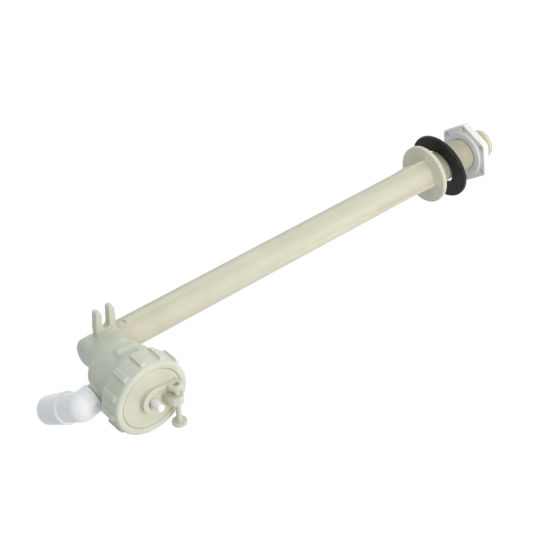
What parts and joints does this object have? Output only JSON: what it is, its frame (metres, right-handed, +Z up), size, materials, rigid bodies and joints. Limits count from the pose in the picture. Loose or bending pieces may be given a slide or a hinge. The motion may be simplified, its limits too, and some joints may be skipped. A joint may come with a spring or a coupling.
{
  "type": "toilet fill valve",
  "caption": "Bottom-entry diaphragm fill valve: flanged standpipe with threaded tail, backnut and washer, ribbed ring nut on the valve head, lugs for a float arm, and a swivel outlet elbow.",
  "frame": {"origin": "on the standpipe's axis, in the underside of the tank flange", "axes": "+Z up the standpipe from the tail to the valve head, -Y towards the front of the valve, where the plunger stands out"},
  "size_m": [0.0571, 0.086, 0.3549],
  "materials": {
    "pipe_plastic": "satin moulded cream acetal with faint flow marks",
    "body_plastic": "satin moulded cream acetal with a greenish cast",
    "cover_plastic": "satin moulded cream acetal",
    "white_plastic": "satin white polypropylene",
    "white_nylon": "natural white nylon",
    "mesh_nylon": "fine woven nylon mesh",
    "washer_rubber": "smooth black rubber with a slight shine",
    "seal_rubber": "black nitrile rubber"
  },
  "bodies": {
    "riser": {"standpipe": "pipe_plastic", "valve_body": "body_plastic", "pipe_o_ring_lower": "seal_rubber", "pipe_o_ring_upper": "seal_rubber", "seat_nozzle": "white_nylon", "nozzle_o_ring": "seal_rubber", "diaphragm": "seal_rubber", "outlet_o_ring": "seal_rubber", "inlet_strainer": "white_nylon", "strainer_mesh": "mesh_nylon", "flow_regulator": "white_nylon", "regulator_ring": "seal_rubber"},
    "cover": {"front_cover": "cover_plastic"},
    "ring_nut": {"ring_nut": "body_plastic"},
    "plunger": {"plunger": "white_plastic"},
    "hinge_pin": {"hinge_pin": "body_plastic"},
    "elbow": {"outlet_elbow": "white_plastic"},
    "washer": {"tank_washer": "washer_rubber"},
    "backnut": {"backnut": "white_plastic"}
  },
  "joints": [
    {"name": "cover_release", "type": "slide", "parent": "riser", "child": "cover", "axis": [0, -1, 0], "range_m": [0, 0.008]},
    {"name": "ring_nut_turn", "type": "hinge", "parent": "cover", "child": "ring_nut", "pos_m": [0, -0.05, 0.259], "axis": [0, -1, 0], "range_deg": [0, 960]},
    {"name": "plunger_push", "type": "slide", "parent": "cover", "child": "plunger", "axis": [0, 1, 0], "range_m": [0, 0.0022], "stiffness_N_per_m": 150, "deforming": ["diaphragm"]},
    {"name": "pin_slide", "type": "slide", "parent": "cover", "child": "hinge_pin", "axis": [1, 0, 0], "range_m": [-0.0075, 0.0141]},
    {"name": "elbow_swivel", "type": "hinge", "parent": "riser", "child": "elbow", "pos_m": [-0.00611, -0.0275, 0.28776], "axis": [-0.2079, 0, 0.9781], "range_deg": [-60, 120]},
    {"name": "washer_slide", "type": "slide", "parent": "riser", "child": "washer", "axis": [0, 0, 1], "range_m": [-0.045, 0.0066]},
    {"name": "backnut_travel", "type": "slide", "parent": "washer", "child": "backnut", "axis": [0, 0, 1], "range_m": [-0.021, 0.0155]}
  ],
  "couplings": [
    {"joint": "ring_nut_turn", "follows": "cover_release", "rad_per_m": 2094.4}
  ]
}
